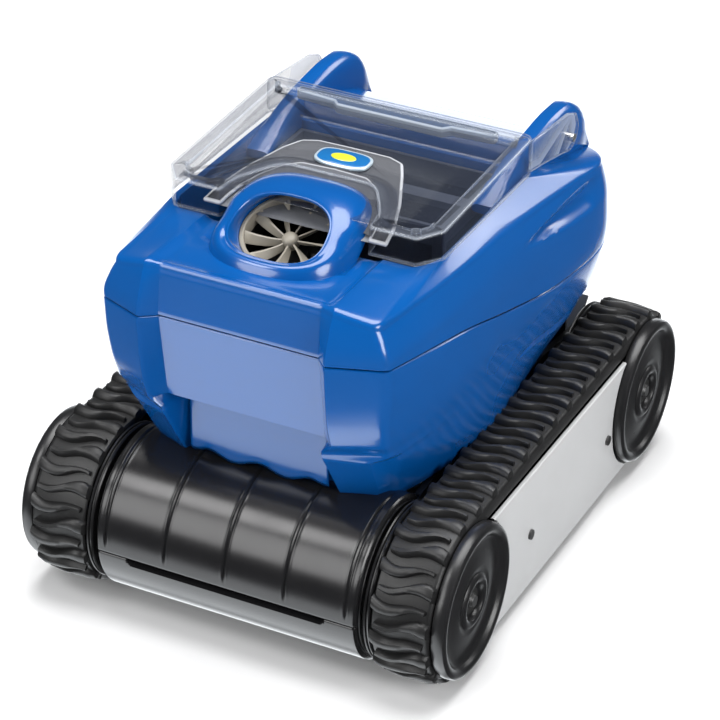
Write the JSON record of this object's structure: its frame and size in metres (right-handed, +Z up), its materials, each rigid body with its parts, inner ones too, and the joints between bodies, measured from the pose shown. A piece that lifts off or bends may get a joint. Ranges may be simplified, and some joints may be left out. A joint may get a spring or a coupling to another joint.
{
  "type": "robotic pool cleaner",
  "caption": "Tracked robotic pool cleaner with a glossy hood, clear hinged lid over a lift-out filter, tilted water outlet, rubber tracks and a rear brush.",
  "frame": {"origin": "on the ground under the middle of the robot", "axes": "+Z up, Y along the direction of travel with the nose barrel at -Y and the brush at +Y, X across the tracks"},
  "size_m": [0.312, 0.4202, 0.2976],
  "materials": {
    "hood_blue": "gloss injection moulding, deep blue",
    "black_plastic": "semi-gloss black moulding",
    "wheel_black": "satin black moulding",
    "belt_rubber": "black moulded rubber",
    "panel_grey": "satin light grey moulding",
    "clear_plastic": "clear polycarbonate",
    "smoke_plastic": "smoky grey translucent moulding",
    "emblem_blue": "plain two-tone insert, no mark",
    "grille_beige": "satin beige grey moulding",
    "filter_frame_grey": "satin slate moulding",
    "filter_mesh": "fine woven filter mesh",
    "steel": "stainless steel",
    "motor_metal": "cast and potted motor can",
    "seal_rubber": "soft black seal",
    "brush_rubber": "flexible black vanes",
    "float_foam": "closed cell foam"
  },
  "bodies": {
    "chassis": {"far_axle": "steel", "hub_screws_far": "steel", "base_screws": "steel", "panel_screws": "steel", "lid_pins": "steel", "belt_left": "belt_rubber", "belt_right": "belt_rubber", "chassis_tub": "black_plastic", "intake_throat": "black_plastic", "base_plate": "black_plastic", "side_frame_left": "black_plastic", "side_frame_right": "black_plastic", "track_frame_left": "black_plastic", "track_frame_right": "black_plastic", "nose_cover": "black_plastic", "nose_lip": "black_plastic", "pump_bracket_left": "black_plastic", "pump_bracket_right": "black_plastic", "canister_seat": "black_plastic", "pump_housing": "black_plastic", "pump_housing_cap": "black_plastic", "control_box": "black_plastic", "cable_gland": "black_plastic", "side_panel_left": "panel_grey", "side_panel_right": "panel_grey", "drive_motor_left": "motor_metal", "drive_motor_right": "motor_metal", "pump_motor": "motor_metal", "hood_upper": "hood_blue", "hood_lower": "hood_blue", "front_panel": "hood_blue", "outlet_bezel": "hood_blue", "outlet_grille": "grille_beige", "outlet_duct": "filter_frame_grey", "pump_seal": "seal_rubber", "float_block": "float_foam"},
    "lid": {"lid_window": "clear_plastic", "lid_trim": "smoke_plastic", "lid_emblem": "emblem_blue", "lid_rear_bar": "smoke_plastic"},
    "canister": {"canister_frame": "filter_frame_grey", "canister_mesh": "filter_mesh", "canister_handle": "filter_frame_grey"},
    "flap": {"intake_flap": "filter_frame_grey"},
    "impeller": {"impeller": "grille_beige"},
    "near_left_wheel": {"wheel_near_left": "wheel_black", "wheel_disc_near_left": "wheel_black", "drive_shaft_left": "steel", "hub_screw_near_left": "steel"},
    "near_right_wheel": {"wheel_near_right": "wheel_black", "wheel_disc_near_right": "wheel_black", "drive_shaft_right": "steel", "hub_screw_near_right": "steel"},
    "far_left_wheel": {"wheel_far_left": "wheel_black", "wheel_disc_far_left": "wheel_black"},
    "far_right_wheel": {"wheel_far_right": "wheel_black", "wheel_disc_far_right": "wheel_black", "brush_core": "black_plastic", "brush_vanes": "brush_rubber"}
  },
  "joints": [
    {"name": "lid_hinge", "type": "hinge", "parent": "chassis", "child": "lid", "pos_m": [0, 0.108, 0.268], "axis": [-1, 0, 0], "range_deg": [0, 75]},
    {"name": "canister_lift", "type": "slide", "parent": "chassis", "child": "canister", "axis": [0, 0, 1], "range_m": [0, 0.106]},
    {"name": "flap_hinge", "type": "hinge", "parent": "canister", "child": "flap", "pos_m": [0, 0.02, 0.122], "axis": [-1, 0, 0], "range_deg": [0, 65]},
    {"name": "impeller_spin", "type": "hinge", "parent": "chassis", "child": "impeller", "pos_m": [0, -0.118, 0.27], "axis": [0, -0.3907, 0.9205], "continuous": true},
    {"name": "near_left_spin", "type": "hinge", "parent": "chassis", "child": "near_left_wheel", "pos_m": [0, -0.15, 0.06], "axis": [1, 0, 0], "continuous": true},
    {"name": "far_left_spin", "type": "hinge", "parent": "chassis", "child": "far_left_wheel", "pos_m": [0, 0.15, 0.06], "axis": [1, 0, 0], "continuous": true},
    {"name": "far_right_spin", "type": "hinge", "parent": "chassis", "child": "far_right_wheel", "pos_m": [0, 0.15, 0.06], "axis": [1, 0, 0], "continuous": true},
    {"name": "near_right_spin", "type": "hinge", "parent": "chassis", "child": "near_right_wheel", "pos_m": [0, -0.15, 0.06], "axis": [1, 0, 0], "continuous": true}
  ],
  "couplings": [
    {"joint": "canister_lift", "follows": "lid_hinge", "m_per_rad": 0.08},
    {"joint": "far_left_spin", "follows": "near_left_spin", "ratio": 1},
    {"joint": "near_right_spin", "follows": "far_right_spin", "ratio": 1}
  ]
}
